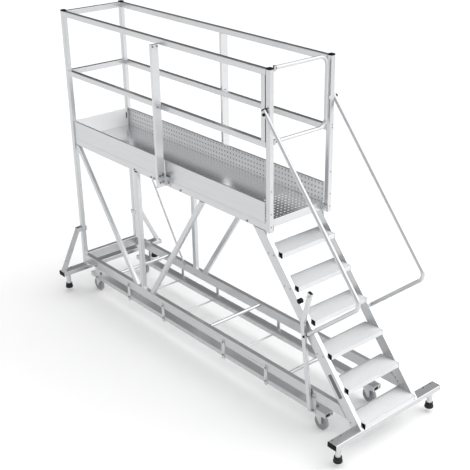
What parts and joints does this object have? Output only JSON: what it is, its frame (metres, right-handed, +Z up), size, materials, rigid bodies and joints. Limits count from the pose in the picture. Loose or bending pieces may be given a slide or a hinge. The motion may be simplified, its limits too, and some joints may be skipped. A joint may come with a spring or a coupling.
{
  "type": "mobile work platform",
  "caption": "Wheeled aluminium work platform: a railed, perforated deck on a braced frame, with a stair, handrails, a swing gate, swivel castors and stabiliser beams.",
  "frame": {"origin": "on the floor under the middle of the overall box", "axes": "+X along the deck towards the foot of the stair, +Y to the far side, +Z up"},
  "size_m": [3.547, 1.098, 2.57],
  "materials": {
    "aluminium": "satin extruded",
    "deck_aluminium": "satin sheet",
    "tread_aluminium": "fine ribbed",
    "zinc_steel": "zinc plated",
    "black_plastic": "moulded",
    "rubber": "moulded",
    "wheel_grey": "satin"
  },
  "bodies": {
    "frame": {"base_cross_tubes": "aluminium", "base_side_rails": "aluminium", "braces": "aluminium", "castor_bars": "aluminium", "corner_posts": "aluminium", "cross_rod": "zinc_steel", "deck_bearers": "aluminium", "deck_linings": "deck_aluminium", "deck_sheet": "deck_aluminium", "edge_beams": "aluminium", "end_caps": "black_plastic", "end_uprights": "aluminium", "foot_tubes": "aluminium", "front_beam": "aluminium", "gate_fittings": "zinc_steel", "handrail_standoffs": "aluminium", "handrails": "aluminium", "hanger_rods": "aluminium", "hanger_straps": "aluminium", "knee_rails": "aluminium", "lever_grip": "black_plastic", "lift_lever": "aluminium", "mid_post_brackets": "aluminium", "mid_posts": "aluminium", "rear_beam": "aluminium", "rear_stays": "aluminium", "rear_toe_board": "aluminium", "rubber_feet": "rubber", "side_toe_boards": "aluminium", "stair_posts": "aluminium", "stay_clamps": "aluminium", "stringers": "aluminium", "support_legs": "aluminium", "top_rails": "aluminium", "tread_caps": "black_plastic", "treads": "tread_aluminium"},
    "gate": {"gate": "aluminium"},
    "fork_rear_near": {"castor_fork_rear_near": "zinc_steel"},
    "wheel_rear_near": {"castor_wheel_rear_near": "wheel_grey"},
    "fork_rear_far": {"castor_fork_rear_far": "zinc_steel"},
    "wheel_rear_far": {"castor_wheel_rear_far": "wheel_grey"},
    "fork_front_near": {"castor_fork_front_near": "zinc_steel"},
    "wheel_front_near": {"castor_wheel_front_near": "wheel_grey"},
    "fork_front_far": {"castor_fork_front_far": "zinc_steel"},
    "wheel_front_far": {"castor_wheel_front_far": "wheel_grey"}
  },
  "joints": [
    {"name": "gate_swing", "type": "hinge", "parent": "frame", "child": "gate", "pos_m": [0.8245, -0.244, 2.296], "axis": [0, 0, 1], "range_deg": [0, 90]},
    {"name": "swivel_rear_near", "type": "hinge", "parent": "frame", "child": "fork_rear_near", "pos_m": [-1.5215, -0.264, 0.136], "axis": [0, 0, 1], "continuous": true},
    {"name": "roll_rear_near", "type": "hinge", "parent": "fork_rear_near", "child": "wheel_rear_near", "pos_m": [-1.5615, -0.264, 0.0625], "axis": [0, 1, 0], "continuous": true},
    {"name": "swivel_rear_far", "type": "hinge", "parent": "frame", "child": "fork_rear_far", "pos_m": [-1.5215, 0.245, 0.136], "axis": [0, 0, 1], "continuous": true},
    {"name": "roll_rear_far", "type": "hinge", "parent": "fork_rear_far", "child": "wheel_rear_far", "pos_m": [-1.5615, 0.245, 0.0625], "axis": [0, 1, 0], "continuous": true},
    {"name": "swivel_front_near", "type": "hinge", "parent": "frame", "child": "fork_front_near", "pos_m": [1.3165, -0.264, 0.136], "axis": [0, 0, 1], "continuous": true},
    {"name": "roll_front_near", "type": "hinge", "parent": "fork_front_near", "child": "wheel_front_near", "pos_m": [1.3565, -0.264, 0.0625], "axis": [0, 1, 0], "continuous": true},
    {"name": "swivel_front_far", "type": "hinge", "parent": "frame", "child": "fork_front_far", "pos_m": [1.3165, 0.245, 0.136], "axis": [0, 0, 1], "continuous": true},
    {"name": "roll_front_far", "type": "hinge", "parent": "fork_front_far", "child": "wheel_front_far", "pos_m": [1.3565, 0.245, 0.0625], "axis": [0, 1, 0], "continuous": true}
  ]
}
